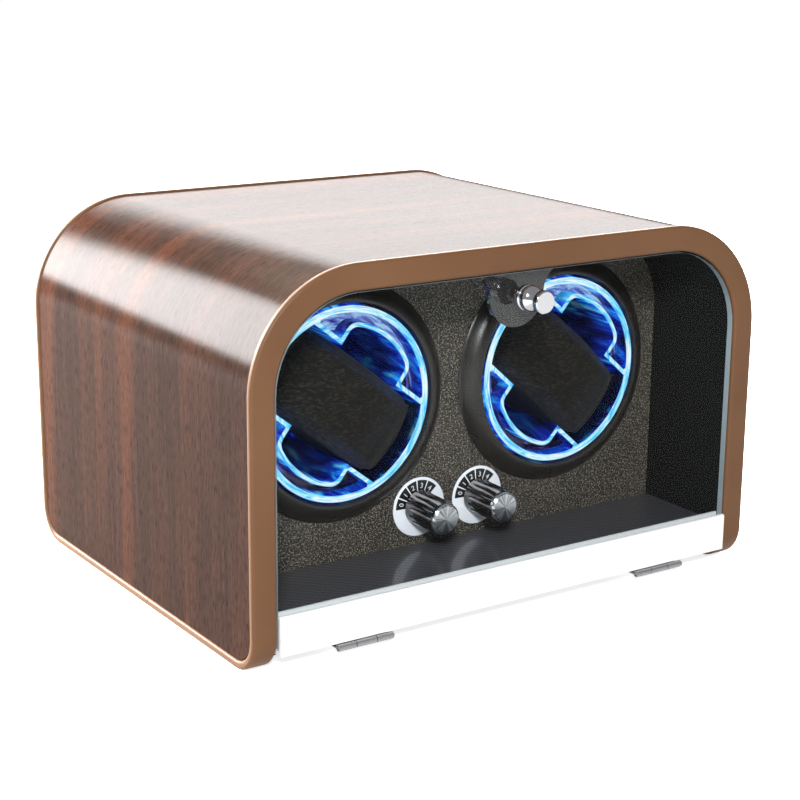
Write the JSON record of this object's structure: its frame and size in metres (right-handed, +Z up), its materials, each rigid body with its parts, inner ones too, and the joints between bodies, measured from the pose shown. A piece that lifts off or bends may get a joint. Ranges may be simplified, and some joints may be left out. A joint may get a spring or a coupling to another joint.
{
  "type": "watch winder box",
  "caption": "Double watch winder: wood shell with rounded shoulders, drop-down clear door, motor-turned clear rotors holding pillows, and turning control knobs.",
  "frame": {"origin": "on the resting plane, under the middle of the bounding box", "axes": "+Z up, the door faces -Y, +X to the right as seen from the front"},
  "size_m": [0.25, 0.2112, 0.1556],
  "materials": {
    "walnut_grain": "satin clear coat over straight dark walnut grain",
    "brown_trim": "smooth moulded edge strip",
    "black_board": "black-faced fibreboard",
    "black_lining": "matt black lining sheet",
    "carbon_sheet": "black vinyl sheet with a woven pattern",
    "pebbled_black": "black with a fine sparkling pebble grain",
    "satin_black": "smooth satin black",
    "grey_gloss": "smooth dark grey",
    "gloss_black": "gloss black",
    "clear_acrylic": "polished clear acrylic",
    "black_leather": "black grained leather cover over foam",
    "silver_anodised": "silver anodised, satin",
    "brushed_aluminium": "radially brushed",
    "chrome": "polished",
    "nickel": "nickel plate",
    "steel": "zinc plated",
    "dark_steel": "black finish",
    "brass": "machined",
    "white_nylon": "moulded white nylon",
    "circuit_board": "green solder mask"
  },
  "bodies": {
    "case": {"wood_shell": "walnut_grain", "front_edge_trim": "brown_trim", "rear_edge_trim": "brown_trim", "base_board": "black_board", "back_panel": "black_board", "motor_plate": "black_board", "inner_liner": "black_lining", "floor_liner": "carbon_sheet", "front_panel": "pebbled_black", "catch_tab": "grey_gloss", "catch_magnet": "nickel", "dc_jack": "gloss_black", "light_switch": "gloss_black", "back_panel_screw_1": "dark_steel", "back_panel_screw_2": "dark_steel", "back_panel_screw_3": "dark_steel", "back_panel_screw_4": "dark_steel", "rotor_bezel_left": "satin_black", "light_ring_left": "circuit_board", "rotor_bearing_left": "steel", "motor_left": "steel", "motor_bracket_left": "steel", "dial_plate_left": "brushed_aluminium", "rotary_switch_left": "steel", "hinge_case_leaf_left": "steel", "hinge_pin_left": "steel", "rotor_bezel_right": "satin_black", "light_ring_right": "circuit_board", "rotor_bearing_right": "steel", "motor_right": "steel", "motor_bracket_right": "steel", "dial_plate_right": "brushed_aluminium", "rotary_switch_right": "steel", "hinge_case_leaf_right": "steel", "hinge_pin_right": "steel", "control_board": "circuit_board"},
    "door": {"door_pane": "clear_acrylic", "door_rail": "silver_anodised", "door_knob": "chrome", "door_knob_screw": "nickel", "hinge_door_leaf_left": "steel", "hinge_door_leaf_right": "steel"},
    "rotor_left": {"rotor_cup_left": "clear_acrylic", "rotor_hub_left": "white_nylon", "drive_gear_left": "white_nylon"},
    "pillow_left": {"pillow_left": "black_leather"},
    "pinion_left": {"motor_pinion_left": "brass"},
    "control_left": {"control_knob_left": "gloss_black", "knob_cap_left": "brushed_aluminium", "switch_spindle_left": "steel"},
    "rotor_right": {"rotor_cup_right": "clear_acrylic", "rotor_hub_right": "white_nylon", "drive_gear_right": "white_nylon"},
    "pillow_right": {"pillow_right": "black_leather"},
    "pinion_right": {"motor_pinion_right": "brass"},
    "control_right": {"control_knob_right": "gloss_black", "knob_cap_right": "brushed_aluminium", "switch_spindle_right": "steel"},
    "light_rocker": {"light_rocker": "gloss_black"}
  },
  "joints": [
    {"name": "door_hinge", "type": "hinge", "parent": "case", "child": "door", "pos_m": [0, -0.0943, 0.0055], "axis": [1, 0, 0], "range_deg": [0, 86]},
    {"name": "rotor_left_spin", "type": "hinge", "parent": "case", "child": "rotor_left", "pos_m": [-0.05565, -0.0469, 0.0872], "axis": [0, 1, 0], "continuous": true},
    {"name": "motor_left_spin", "type": "hinge", "parent": "case", "child": "pinion_left", "pos_m": [-0.05565, 0.0226, 0.0592], "axis": [0, 1, 0], "continuous": true},
    {"name": "pillow_left_slide", "type": "slide", "parent": "rotor_left", "child": "pillow_left", "axis": [0, -1, 0], "range_m": [0, 0.028]},
    {"name": "control_left_turn", "type": "hinge", "parent": "case", "child": "control_left", "pos_m": [-0.0153, -0.0629, 0.0354], "axis": [0, 1, 0], "range_deg": [0, 120]},
    {"name": "rotor_right_spin", "type": "hinge", "parent": "case", "child": "rotor_right", "pos_m": [0.05565, -0.0469, 0.0872], "axis": [0, 1, 0], "continuous": true},
    {"name": "motor_right_spin", "type": "hinge", "parent": "case", "child": "pinion_right", "pos_m": [0.05565, 0.0226, 0.0592], "axis": [0, 1, 0], "continuous": true},
    {"name": "pillow_right_slide", "type": "slide", "parent": "rotor_right", "child": "pillow_right", "axis": [0, -1, 0], "range_m": [0, 0.028]},
    {"name": "control_right_turn", "type": "hinge", "parent": "case", "child": "control_right", "pos_m": [0.0153, -0.0629, 0.0354], "axis": [0, 1, 0], "range_deg": [0, 120]},
    {"name": "light_rocker_tilt", "type": "hinge", "parent": "case", "child": "light_rocker", "pos_m": [-0.075, 0.0984, 0.034], "axis": [-1, 0, 0], "range_deg": [0, 14]}
  ],
  "couplings": [
    {"joint": "motor_left_spin", "follows": "rotor_left_spin", "ratio": -4},
    {"joint": "motor_right_spin", "follows": "rotor_right_spin", "ratio": -4}
  ]
}
